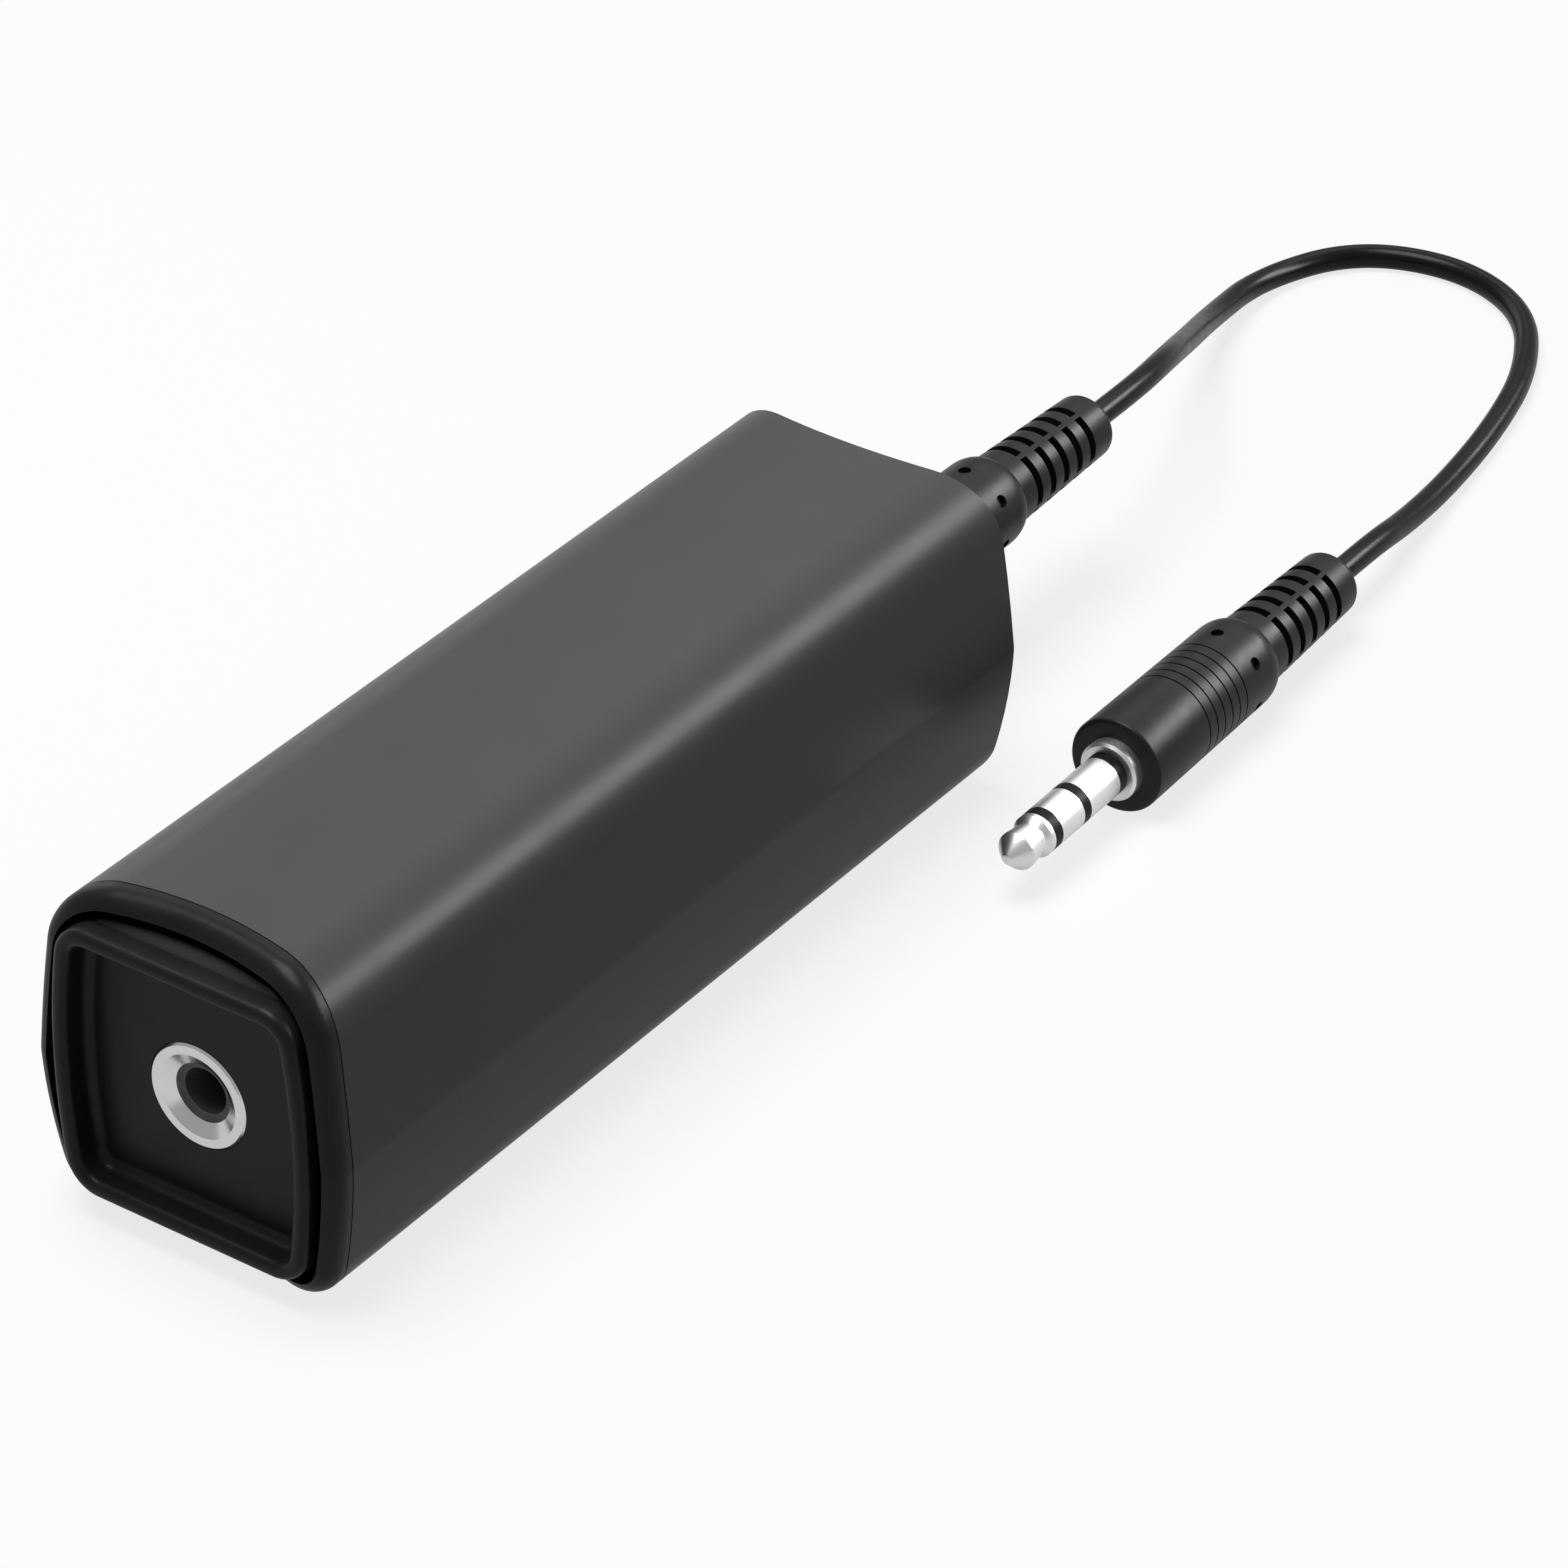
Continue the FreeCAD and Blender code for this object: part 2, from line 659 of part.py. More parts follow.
def handle_profile():
    """Half outline of the moulded handle and boot, with its thin grip grooves."""
    face = collar_end
    tail_end = face + tail_length
    barrel_end = face + handle_length - shoulder_length
    points = [(tail_end, 0), (tail_end, tail_radius), (face, tail_radius),
              (face, handle_radius - handle_edge), (face + handle_edge, handle_radius)]
    taper = (handle_radius - handle_back_radius) / (handle_length - shoulder_length)
    for index in range(grip_count):
        start = face + grip_start + index * grip_pitch
        radius = handle_radius - taper * (start - face)
        points += [(start, radius), (start, radius - grip_depth),
                   (start + grip_width, radius - grip_depth), (start + grip_width, radius)]
    points.append((barrel_end, handle_back_radius))
    steps = 4
    for index in range(1, steps + 1):
        angle = math.radians(90 * index / steps)
        drop = (handle_back_radius - boot_radius) * (1 - math.cos(angle))
        points.append((barrel_end + shoulder_length * math.sin(angle), handle_back_radius - drop))
    boot_end = face + handle_length + boot_length
    points.append((boot_end - boot_rounding, boot_end_radius))
    for index in range(1, steps + 1):
        angle = math.radians(90 * index / steps)
        points.append((boot_end - boot_rounding * (1 - math.sin(angle)),
                       boot_end_radius - boot_rounding * (1 - math.cos(angle))))
    points.append((boot_end, 0))
    return points


def boot_slot(start, turn):
    """One curved slot in the boot, a sector of a ring."""
    span = 360.0 / slots_per_row - web_angle
    inner = boot_end_radius - slot_depth
    face = Part.Face(Part.makePolygon([
        V(inner, start, 0), V(boot_radius + 1, start, 0), V(boot_radius + 1, start + slot_width, 0),
        V(inner, start + slot_width, 0), V(inner, start, 0)]))
    slot = face.revolve(V(0, 0, 0), Y_AXIS, span)
    slot.rotate(V(0, 0, 0), Y_AXIS, turn + web_angle / 2)
    return slot


def plug_handle():
    handle = turned_piece(handle_profile())
    cutters = []
    for row in range(slot_rows):
        start = collar_end + handle_length + slot_start + row * slot_pitch - slot_width / 2
        cutters += [boot_slot(start, 360.0 / slots_per_row * index) for index in range(slots_per_row)]
    for index in range(dot_count):
        dot = Part.makeCylinder(dot_radius, 2, V(0, collar_end + dot_distance, handle_radius - dot_depth))
        dot.rotate(V(0, 0, 0), Y_AXIS, 360.0 / dot_count * index)
        cutters.append(dot)
    return handle.cut(Part.Compound(cutters))


def plug_pieces(name):
    return {
        name + "_handle": plug_handle(),
        name + "_collar": plug_collar(),
        name + "_sleeve_contact": plug_tube(second_band[1], third_band[0]),
        name + "_ring_contact": plug_tube(first_band[1], second_band[0]),
        name + "_tip_contact": plug_tip(),
        name + "_insulator": plug_insulator(),
    }


def place_rear_plug(shape):
    shape.translate(V(0, rear_tip_y, axis_height))
    return shape


def place_free_plug(shape):
    shape.rotate(V(0, 0, 0), Z_AXIS, free_turn)
    shape.translate(V(free_tip_x, free_tip_y, handle_radius))
    return shape


def cord_route():
    """Corners of the cord's route, from the rear plug's boot to the free plug's boot."""
    turn = math.radians(free_turn)
    away = V(-math.sin(turn), math.cos(turn), 0)
    exit_point = V(0, rear_exit_y, axis_height)
    end_point = V(free_tip_x, free_tip_y, handle_radius) + away * plug_length
    return [
        exit_point,
        exit_point + Y_AXIS * 7.0,
        V(-3.6, 87.7, 10.9),
        V(-8.8, 98.6, 5.4),
        V(-12.4, 109.9, 1.6),
        V(-12.2, 120.4, cord_radius),
        V(-5.4, 128.0, cord_radius),
        V(4.0, 128.0, cord_radius),
        V(11.6, 121.4, cord_radius),
        V(15.8, 111.4, cord_radius),
        V(17.8, 100.9, cord_radius),
        V(18.6, 90.9, 1.6),
        end_point + away * 6.5,
        end_point,
    ]


def cord_path(points):
    """Straight runs joined by tangent arcs, with the length of the whole path."""
    edges = []
    length = 0.0
    last = points[0]
    for before, corner, after in zip(points, points[1:], points[2:]):
        back, ahead = before - corner, after - corner
        turn = math.pi - back.getAngle(ahead)
        tangent = arc_share * min(back.Length, ahead.Length)
        radius = tangent / math.tan(turn / 2)
        start = corner + V(back).normalize() * tangent
        end = corner + V(ahead).normalize() * tangent
        bisector = (V(back).normalize() + V(ahead).normalize()).normalize()
        middle = corner + bisector * (radius / math.cos(turn / 2) - radius)
        edges.append(Part.LineSegment(last, start).toShape())
        edges.append(Part.Arc(start, middle, end).toShape())
        length += (start - last).Length + radius * turn
        print("cord bend radius %.1f mm, turn %.0f degrees" % (radius, math.degrees(turn)))
        last = end
    edges.append(Part.LineSegment(last, points[-1]).toShape())
    length += (points[-1] - last).Length
    return Part.Wire(edges), length


def cord():
    points = cord_route()
    path, length = cord_path(points)
    circle = Part.Wire(Part.makeCircle(cord_radius, points[0], points[1] - points[0]))
    tube = path.makePipeShell([circle], True, False)
    expected = math.pi * cord_radius ** 2 * length
    print("cord length %.1f mm, volume %.1f of %.1f cubic mm" % (length, tube.Volume, expected))
    return tube


def transformer_pieces(name, middle):
    first = primary_build
    second = primary_build + secondary_build
    third = second + tape_build
    pieces = {
        name + "_core": transformer_core(middle),
        name + "_bobbin": transformer_bobbin(middle),
        name + "_primary_winding": on_board(winding(0, first), middle),
        name + "_secondary_winding": on_board(winding(first, second), middle),
        name + "_tape": on_board(winding(second, third), middle),
    }
    for number, place in enumerate(transformer_pin_places(), start=1):
        pieces["%s_pin_%d" % (name, number)] = transformer_pin(place, middle)
    return pieces


def end_pieces():
    """Pieces of the front end that the rear end has too, turned round."""
    return {
        "panel": front_panel(),
        "jack_ring": jack_ring(),
        "jack_body": jack_body(),
        "jack_tip_spring": side_spring("tip", tip_touch, tip_touch_radius, 1),
        "jack_ring_spring": side_spring("ring", ring_touch, touch_radius, -1),
        "jack_sleeve_spring": sleeve_spring(),
    }


def all_pieces():
    pieces = {
        "housing_sleeve": housing_sleeve(),
        "front_bezel": front_bezel(),
        "rear_bezel": rear_bezel(),
        "circuit_board": circuit_board(),
    }
    for name, shape in end_pieces().items():
        pieces["front_" + name] = shape
        pieces["rear_" + name] = turned_to_rear(shape)
    pieces.update(transformer_pieces("left_transformer", -transformer_offset))
    pieces.update(transformer_pieces("right_transformer", transformer_offset))
    for name, shape in plug_pieces("rear_plug").items():
        pieces[name] = place_rear_plug(shape)
    for name, shape in plug_pieces("free_plug").items():
        pieces[name] = place_free_plug(shape)
    pieces["cord"] = cord()
    return pieces


def main():
    os.makedirs("parts", exist_ok=True)
    for name, shape in all_pieces().items():
        shape.exportStep(os.path.join("parts", name + ".step"))


main()
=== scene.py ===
import json
import math

import bmesh
import bpy
from mathutils import Matrix, Vector


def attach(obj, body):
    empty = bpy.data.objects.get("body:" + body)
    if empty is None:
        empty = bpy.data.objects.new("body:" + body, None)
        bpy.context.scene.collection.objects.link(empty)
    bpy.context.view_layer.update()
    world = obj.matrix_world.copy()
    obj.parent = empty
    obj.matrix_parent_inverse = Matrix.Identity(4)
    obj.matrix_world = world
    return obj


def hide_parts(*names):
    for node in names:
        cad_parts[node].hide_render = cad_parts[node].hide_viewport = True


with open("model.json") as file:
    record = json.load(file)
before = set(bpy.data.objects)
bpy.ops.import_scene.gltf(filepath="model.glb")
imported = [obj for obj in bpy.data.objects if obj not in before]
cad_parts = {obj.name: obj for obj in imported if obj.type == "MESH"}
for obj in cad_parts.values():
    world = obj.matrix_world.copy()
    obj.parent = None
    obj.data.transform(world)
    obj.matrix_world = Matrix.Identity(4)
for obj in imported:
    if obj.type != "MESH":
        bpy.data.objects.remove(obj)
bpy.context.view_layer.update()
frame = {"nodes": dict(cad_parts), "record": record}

MM = 0.001
scene = bpy.context.scene
nodes = frame["nodes"]
SLOT_OF = {part["node"]: part["material_slot"] for part in frame["record"]["subparts"]}

# Camera, fitted to the photograph, in metres and radians
CAMERA_PLACE = Vector((0.24514, -0.31872, 0.28427))
CAMERA_TILT = math.radians(56.403)
CAMERA_TURN = math.radians(35.101)
CAMERA_ROLL = math.radians(0.274)
CAMERA_CLIP = (0.02, 20.0)
SENSOR_MM = 36.0
IMAGE_SIDE = 1568
FOCAL_PIXELS = 6786.0

# Where the plugs lie, in millimetres: the rear jack's axis, and the free plug on the table
PLUG_LENGTH = 47.0
HANDLE_RADIUS = 3.95
AXIS_HEIGHT = 12.8
REAR_EXIT_Y = 71.18
FREE_TIP = Vector((21.6, 27.8, HANDLE_RADIUS))
FREE_TURN = math.radians(1.15)

# Cord: its radius, the lengths of its two straight ends, and the corners between them, in
# millimetres
CORD_RADIUS = 1.03
REAR_STRAIGHT = 7.0
FREE_STRAIGHT = 6.5
CORD_CORNERS = [
    (-1.9, 86.2, 11.3), (-5.8, 95.4, 7.2), (-10.0, 105.8, 3.0), (-12.0, 116.9, CORD_RADIUS),
    (-7.9, 125.9, CORD_RADIUS), (1.0, 128.7, CORD_RADIUS), (9.4, 125.2, CORD_RADIUS),
    (14.4, 116.6, CORD_RADIUS), (16.9, 106.8, CORD_RADIUS), (18.3, 97.2, 1.1), (19.5, 88.6, 2.2)]

# Handle and boot, as distances from the plug's tip and radii in millimetres
COLLAR_END = 15.1
TAIL_END = 19.1
TAIL_RADIUS = 2.15
HANDLE_EDGE = 0.35
HANDLE_BACK_RADIUS = 3.8
BARREL_END = 31.9
BOOT_START = 33.6
BOOT_RADIUS = 3.1
BOOT_END_RADIUS = 2.7
BOOT_ROUNDING = 0.6
GROOVES = [22.5 + 1.1 * index for index in range(6)]
GROOVE_WIDTH = 0.16
GROOVE_SLOPE = 0.04
GROOVE_DEPTH = 0.14
SLOTS = [35.5 + 1.95 * row for row in range(5)]
SLOT_WIDTH = 0.8
SLOT_FLOOR = 2.0
DOT_DISTANCE = 30.3
DOT_RADIUS = 0.52
DOT_FLOOR = 3.35
DOT_CUT = 1.5

# Round the handle, in degrees from +X towards +Z: four webs between the slots, and six dots
WEB_PITCH = 90.0
WEBS = [69.0 + WEB_PITCH * index for index in range(4)]
WEB_ANGLE = 8.0
DOTS = [36.0 + 60.0 * index for index in range(6)]

# Cells of the turned meshes: across a web, from one web to the next, and round a contact.
# The test for a slot looks this many degrees inside a cell, less than the narrowest is wide.
WEB_CELLS = 3
SLOT_CELLS = 22
CONTACT_CELLS = 72
INSIDE_CELL = 1.0
DOT_SIDES = 32
WELD_DISTANCE_M = 1e-7

# Shaft of the plug: its bands, and the outline of its nose, as distances and radii in millimetres
SHAFT_RADIUS = 1.75
CORE_RADIUS = 1.1
ROD_RADIUS = 0.45
BANDS = [(4.1, 5.1), (8.1, 9.05), (13.05, 14.0)]
NOSE = [
    (0.0, 0.0), (0.0, 0.36), (0.06, 0.46), (1.2, 1.47), (1.3, 1.54), (1.42, 1.57), (1.6, 1.57),
    (3.1, 1.38), (3.24, 1.38), (3.32, 1.42), (3.6, 1.7), (3.68, SHAFT_RADIUS)]

# Detailed pieces that stand for plain CAD nodes
DETAILED = {
    "rear_plug_handle": "rear_plug_grip",
    "free_plug_handle": "free_plug_grip",
    "free_plug_tip_contact": "free_plug_nose",
    "free_plug_insulator": "free_plug_bands",
    "free_plug_ring_contact": "free_plug_ring_shell",
    "free_plug_sleeve_contact": "free_plug_sleeve_shell",
}
SHARP_ANGLE = math.radians(32)

# Materials by slot. Patches in the colour have a size and a spread, the roughness has a size of
# patch and a lowest and highest value, and each bump has a size and a depth, in millimetres.
# A last triple squeezes the pattern along X, Y and Z.
SURFACES = {
    "housing_grey": dict(
        name="moulded grey shell", colour=(0.111, 0.111, 0.111), specular=0.13,
        mottle=(9.0, 0.02), roughness=(5.0, 0.28, 0.33), bumps=[(0.35, 0.003), (0.09, 0.001)]),
    "black_plastic": dict(
        name="moulded black end", colour=(0.0168, 0.0168, 0.0168), specular=0.18,
        mottle=(4.0, 0.12), roughness=(3.0, 0.32, 0.40), bumps=[(0.3, 0.004), (0.08, 0.0015)]),
    "jack_plastic": dict(
        name="jack moulding", colour=(0.14, 0.14, 0.14),
        mottle=(2.0, 0.2), roughness=(1.5, 0.38, 0.52), bumps=[(0.2, 0.004)]),
    "ring_chrome": dict(
        name="bright nickel ring", colour=(0.86, 0.85, 0.84), metallic=1.0,
        mottle=(1.5, 0.02), roughness=(0.8, 0.17, 0.24), bumps=[(0.12, 0.0008)]),
    "plug_nickel": dict(
        name="nickel plated plug", colour=(0.94, 0.94, 0.93), metallic=1.0, mottle=(1.6, 0.03),
        roughness=(0.5, 0.32, 0.40, (1.0, 14.0, 1.0)), bumps=[(0.5, 0.0008, (1.0, 14.0, 1.0))]),
    "handle_pvc": dict(
        name="soft black handle", colour=(0.012, 0.012, 0.012), specular=0.28,
        mottle=(3.0, 0.12), roughness=(2.0, 0.32, 0.40), bumps=[(0.22, 0.004), (0.07, 0.0012)]),
    "cord_pvc": dict(
        name="black lead jacket", colour=(0.003, 0.003, 0.003), specular=0.22,
        mottle=(4.0, 0.12), roughness=(1.6, 0.25, 0.32), bumps=[(0.6, 0.006), (0.08, 0.001)]),
    "insulator_plastic": dict(
        name="plug insulator", colour=(0.002, 0.002, 0.002), specular=0.2,
        mottle=(1.0, 0.2), roughness=(0.8, 0.4, 0.5), bumps=[(0.1, 0.001)]),
    "spring_bronze": dict(
        name="contact bronze", colour=(0.62, 0.43, 0.20), metallic=1.0,
        mottle=(1.5, 0.08), roughness=(0.8, 0.2, 0.32), bumps=[(0.15, 0.001)]),
    "board_laminate": dict(
        name="board laminate", colour=(0.012, 0.09, 0.035),
        mottle=(2.0, 0.15), roughness=(2.0, 0.25, 0.36), bumps=[(0.4, 0.003, (1.0, 1.0, 0.2))]),
    "core_steel": dict(
        name="core sheets", colour=(0.33, 0.34, 0.36), metallic=1.0,
        mottle=(3.0, 0.1), roughness=(2.0, 0.35, 0.5), bumps=[(3.0, 0.05, (1.0, 9.0, 1.0))]),
    "bobbin_plastic": dict(
        name="bobbin moulding", colour=(0.02, 0.02, 0.022),
        mottle=(2.0, 0.15), roughness=(1.5, 0.42, 0.58), bumps=[(0.2, 0.003)]),
    "copper_wire": dict(
        name="enamelled copper", colour=(0.42, 0.13, 0.05), metallic=0.85,
        mottle=(2.0, 0.12), roughness=(1.0, 0.18, 0.3), bumps=[(3.0, 0.05, (1.0, 1.0, 18.0))]),
    "winding_tape": dict(
        name="yellow tape", colour=(0.62, 0.38, 0.03),
        mottle=(3.0, 0.06), roughness=(2.0, 0.18, 0.3), bumps=[(1.5, 0.01)]),
    "tinned_pin": dict(
        name="tinned pin", colour=(0.68, 0.68, 0.7), metallic=1.0,
        mottle=(0.8, 0.08), roughness=(0.5, 0.24, 0.38), bumps=[(0.15, 0.002)]),
}

# Floor and surroundings: what lights the object, and what the camera and reflections see
FLOOR_HALF_SIDE = 3.0
FLOOR_COLOUR = 0.25
FLOOR_ROUGHNESS = 0.85
FLOOR_SPECULAR = 0.1
FLOOR_GLOW = 0.79
FLOOR_GLOW_REFLECTED = 0.45
WORLD_LIGHT = 0.10
WORLD_SEEN = 0.35

# Lights: place and sides in metres, watts, and whether they light matt surfaces or only gleam
LIGHT_TARGET = Vector((0.0, 0.01, 0.012))
LIGHTS = {
    "key": ((-0.12, -0.05, 0.75), (0.45, 0.45), 4.0, True),
    "ridge strip": ((0.62, 0.78, 0.56), (0.9, 0.3), 11.0, False),
    "back card": ((-0.10, 0.60, 0.56), (0.7, 0.35), 0.9, False),
    "left card": ((-0.62, 0.35, 0.30), (0.4, 0.4), 0.45, False),
}


def add_object(name, data):
    made = bpy.data.objects.new(name, data)
    scene.collection.objects.link(made)
    return made


def make_camera():
    data = bpy.data.cameras.new("camera")
    data.sensor_width = SENSOR_MM
    data.lens = FOCAL_PIXELS / IMAGE_SIDE * SENSOR_MM
    data.clip_start, data.clip_end = CAMERA_CLIP
    camera = add_object("camera", data)
    turned = Matrix.Rotation(CAMERA_TURN, 4, "Z") @ Matrix.Rotation(CAMERA_TILT, 4, "X")
    turned = turned @ Matrix.Rotation(CAMERA_ROLL, 4, "Z")
    camera.matrix_world = Matrix.Translation(CAMERA_PLACE) @ turned
    scene.camera = camera


def cord_route():
    """Control points of the cord: straight out of each boot, with the listed corners between."""
    backward = Vector((-math.sin(FREE_TURN), math.cos(FREE_TURN), 0))
    exit_point = Vector((0, REAR_EXIT_Y, AXIS_HEIGHT))
    end_point = FREE_TIP + backward * PLUG_LENGTH
    return [exit_point, exit_point + Vector((0, REAR_STRAIGHT, 0)),
            *[Vector(corner) for corner in CORD_CORNERS],
            end_point + backward * FREE_STRAIGHT, end_point]


def make_cord(material):
    curve = bpy.data.curves.new("lead_cord", "CURVE")
    curve.dimensions = "3D"
    curve.resolution_u = 24
    curve.bevel_depth = CORD_RADIUS * MM
    curve.bevel_resolution = 10
    curve.use_fill_caps = True
    points = cord_route()
    spline = curve.splines.new("NURBS")
    spline.points.add(len(points) - 1)
    for target, point in zip(spline.points, points):
        target.co = (*(point * MM), 1.0)
    spline.order_u = 3
    spline.use_endpoint_u = True
    curve.materials.append(material)
    piece = add_object("lead_cord", curve)
    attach(piece, "root")
    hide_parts("cord")


def rounding(start, end, centre, steps):
    """Quarter of an ellipse from start to end, which each share one value with the centre."""
    points = []
    for index in range(1, steps + 1):
        angle = math.pi / 2 * index / steps
        points.append(tuple(
            middle + (first - middle) * math.cos(angle) + (last - middle) * math.sin(angle)
            for first, last, middle in zip(start, end, centre)))
    return points


def taper(y, start, end):
    """Radius at a distance y on the straight line between two outline points."""
    return start[1] + (end[1] - start[1]) * (y - start[0]) / (end[0] - start[0])


def handle_outline():
    """Outline of the handle and boot, with a point at each edge of the grooves and slots."""
    front = (COLLAR_END + HANDLE_EDGE, HANDLE_RADIUS)
    back = (BARREL_END, HANDLE_BACK_RADIUS)
    boot = (BOOT_START, BOOT_RADIUS)
    boot_end = (PLUG_LENGTH - BOOT_ROUNDING, BOOT_END_RADIUS)
    face_radius = HANDLE_RADIUS - HANDLE_EDGE
    end_radius = BOOT_END_RADIUS - BOOT_ROUNDING
    points = [(TAIL_END, 0.0), (TAIL_END, TAIL_RADIUS), (COLLAR_END, TAIL_RADIUS),
              (COLLAR_END, face_radius)]
    points += rounding(points[-1], front, (front[0], face_radius), steps=5)
    for start in GROOVES:
        end = start + GROOVE_WIDTH
        outer = [taper(y, front, back) for y in (start, end)]
        points += [(start, outer[0]), (start + GROOVE_SLOPE, outer[0] - GROOVE_DEPTH),
                   (end - GROOVE_SLOPE, outer[1] - GROOVE_DEPTH), (end, outer[1])]
    points.append(back)
    points += rounding(back, boot, (BARREL_END, BOOT_RADIUS), steps=9)
    for start in SLOTS:
        points += [(y, taper(y, boot, boot_end)) for y in (start, start + SLOT_WIDTH)]
    points.append(boot_end)
    points += rounding(boot_end, (PLUG_LENGTH, end_radius), (boot_end[0], end_radius), steps=6)
    return points + [(PLUG_LENGTH, 0.0)]


def tip_outline():
    """The tip contact, with the rod that runs back from it through the plug."""
    front = BANDS[0][0]
    return NOSE + [(front, SHAFT_RADIUS), (front, ROD_RADIUS),
                   (TAIL_END, ROD_RADIUS), (TAIL_END, 0.0)]


def band_outline():
    """The insulator: three bands on a tube round the rod."""
    points = [(BANDS[0][0], ROD_RADIUS)]
    for front, back in BANDS:
        inner = [(front, CORE_RADIUS)] if front > BANDS[0][0] else []
        points += inner + [(front, SHAFT_RADIUS), (back, SHAFT_RADIUS), (back, CORE_RADIUS)]
    return points + [(TAIL_END, CORE_RADIUS), (TAIL_END, ROD_RADIUS), points[0]]


def shell_outline(index):
    """The contact between one band and the next."""
    front, back = BANDS[index][1], BANDS[index + 1][0]
    return [(front, CORE_RADIUS), (front, SHAFT_RADIUS), (back, SHAFT_RADIUS),
            (back, CORE_RADIUS), (front, CORE_RADIUS)]


def even_angles(count, start=0.0, span=360.0):
    return [math.radians(start + span * index / count) for index in range(count)]


def handle_angles():
    """Angles round the boot, with a line at both sides of each web."""
    angles = []
    for web in WEBS:
        side = web - WEB_ANGLE / 2
        angles += even_angles(WEB_CELLS, side, WEB_ANGLE)
        angles += even_angles(SLOT_CELLS, side + WEB_ANGLE, WEB_PITCH - WEB_ANGLE)
    return angles


def in_slot(y, angle):
    """True for a cell that starts at this distance and angle, if it lies in one of the slots."""
    inside = math.degrees(angle) + INSIDE_CELL
    from_web = (inside - WEBS[0] + WEB_ANGLE / 2) % WEB_PITCH
    return from_web > WEB_ANGLE and any(math.isclose(y, start) for start in SLOTS)


def turned_mesh(name, outline, angles, is_cut=lambda y, angle: False, floor=0.0):
    """Outline turned about the Y axis, with the cells that is_cut picks sunk to a floor radius."""
    mesh = bpy.data.meshes.new(name)
    build = bmesh.new()
    made = {}
    count = len(angles)

    def vertex(station, index, cut):
        y, radius = outline[station]
        radius = floor if cut else radius
        key = (station, index % count if radius else 0, cut)
        if key not in made:
            angle = angles[index % count]
            place = Vector((radius * math.cos(angle), y, radius * math.sin(angle)))
            made[key] = build.verts.new(place * MM)
        return made[key]

    def face(*keys):
        corners = [vertex(*key) for key in keys]
        kept = [corner for k, corner in enumerate(corners) if corner is not corners[k - 1]]
        if len(kept) > 2:
            build.faces.new(kept)

    def cut_at(station, index):
        return station >= 0 and is_cut(outline[station][0], angles[index % count])

    for j in range(len(outline) - 1):
        for i in range(count):
            cut = cut_at(j, i)
            face((j, i, cut), (j, i + 1, cut), (j + 1, i + 1, cut), (j + 1, i, cut))
            if cut != cut_at(j, i - 1):
                face((j, i, False), (j + 1, i, False), (j + 1, i, True), (j, i, True))
            if cut != cut_at(j - 1, i):
                face((j, i, False), (j, i + 1, False), (j, i + 1, True), (j, i, True))
    bmesh.ops.remove_doubles(build, verts=build.verts, dist=WELD_DISTANCE_M)
    bmesh.ops.recalc_face_normals(build, faces=build.faces)
    build.to_mesh(mesh)
    build.free()
    return mesh


def dot_cutters():
    """Short cylinders that sink the dots into the handle's shoulder."""
    mesh = bpy.data.meshes.new("dot_cutters")
    build = bmesh.new()
    lying = Matrix.Rotation(math.pi / 2, 4, "Y")
    middle = Matrix.Translation(Vector((DOT_FLOOR + DOT_CUT / 2, DOT_DISTANCE, 0)) * MM)
    for dot in DOTS:
        turned = Matrix.Rotation(-math.radians(dot), 4, "Y")
        bmesh.ops.create_cone(
            build, cap_ends=True, segments=DOT_SIDES, radius1=DOT_RADIUS * MM,
            radius2=DOT_RADIUS * MM, depth=DOT_CUT * MM, matrix=turned @ middle @ lying)
    build.to_mesh(mesh)
    build.free()
    return mesh


def handle_mesh():
    body = add_object("handle_body", turned_mesh(
        "handle", handle_outline(), handle_angles(), in_slot, SLOT_FLOOR))
    cutters = add_object("dots", dot_cutters())
    sink = body.modifiers.new("dots", "BOOLEAN")
    sink.operation = "DIFFERENCE"
    sink.solver = "EXACT"
    sink.object = cutters
    bpy.context.view_layer.update()
    finished = body.evaluated_get(bpy.context.evaluated_depsgraph_get())
    mesh = bpy.data.meshes.new_from_object(finished)
    for piece in (body, cutters):
        bpy.data.objects.remove(piece)
    return mesh


def place_plug_piece(node, mesh, place, turn, materials):
    """A detailed piece of a plug, which stands for the plain CAD node in the same place."""
    slot = SLOT_OF[node]
    mesh.transform(Matrix.Translation(place * MM) @ Matrix.Rotation(turn, 4, "Z"))
    mesh.shade_smooth()
    mesh.set_sharp_from_angle(angle=SHARP_ANGLE)
    mesh.materials.clear()
    mesh.materials.append(materials[slot])
    piece = add_object(DETAILED[node], mesh)
    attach(piece, "root")
    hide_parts(node)


def make_plug_pieces(materials):
    rear_tip = Vector((0, REAR_EXIT_Y - PLUG_LENGTH, AXIS_HEIGHT))
    handle = handle_mesh()
    place_plug_piece("rear_plug_handle", handle.copy(), rear_tip, 0.0, materials)
    place_plug_piece("free_plug_handle", handle, FREE_TIP, FREE_TURN, materials)
    outlines = {
        "free_plug_tip_contact": tip_outline(),
        "free_plug_insulator": band_outline(),
        "free_plug_ring_contact": shell_outline(0),
        "free_plug_sleeve_contact": shell_outline(1),
    }
    for node, outline in outlines.items():
        mesh = turned_mesh(node, outline, even_angles(CONTACT_CELLS))
        place_plug_piece(node, mesh, FREE_TIP, FREE_TURN, materials)


